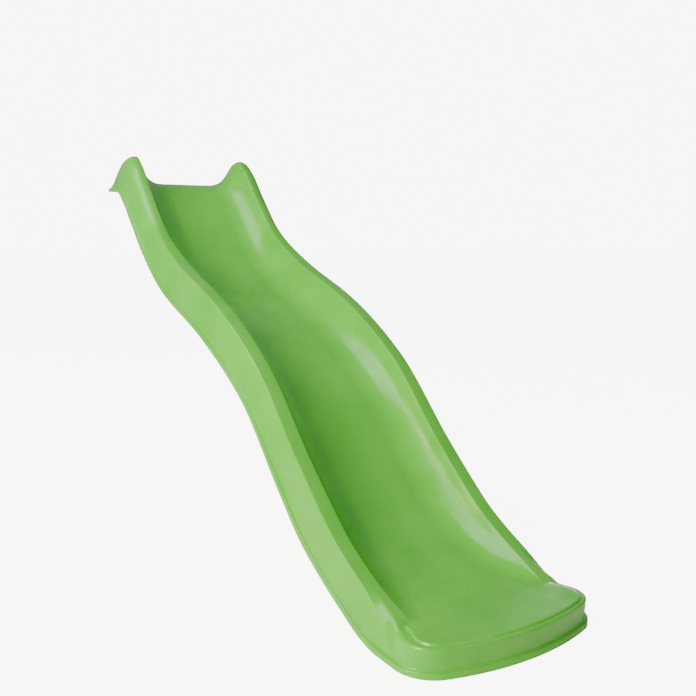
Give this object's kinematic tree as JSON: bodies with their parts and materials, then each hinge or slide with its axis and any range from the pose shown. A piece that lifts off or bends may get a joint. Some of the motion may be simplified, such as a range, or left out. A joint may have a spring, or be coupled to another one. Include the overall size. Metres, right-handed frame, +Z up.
{
  "type": "toddler wave slide",
  "caption": "Toddler slide: a twin-wall plastic wave chute with raised side rails, rounded hand-grip ears, a flat foot pad and a lip that hooks over a platform.",
  "frame": {"origin": "middle of the object's rectangle on the ground: Z = 0 is the ground under the foot, halfway between the foot's front edge and the end of the hook-over lip, on the middle plane", "axes": "+X across the slide, +Y from the foot up towards the platform, +Z up"},
  "size_m": [0.448, 1.702, 0.995],
  "materials": {
    "chute_plastic": "semi-gloss moulded polyethylene, lime green",
    "under_plastic": "satin moulded polyethylene, lime green",
    "zinc_steel": "zinc-plated steel",
    "cap_plastic": "satin moulded plastic, green"
  },
  "bodies": {
    "root": {"chute_skin": "chute_plastic", "under_skin": "under_plastic", "deck_screw_left": "zinc_steel", "deck_screw_right": "zinc_steel", "deck_washer_left": "zinc_steel", "deck_washer_right": "zinc_steel", "deck_cap_left": "cap_plastic", "deck_cap_right": "cap_plastic"}
  },
  "joints": []
}
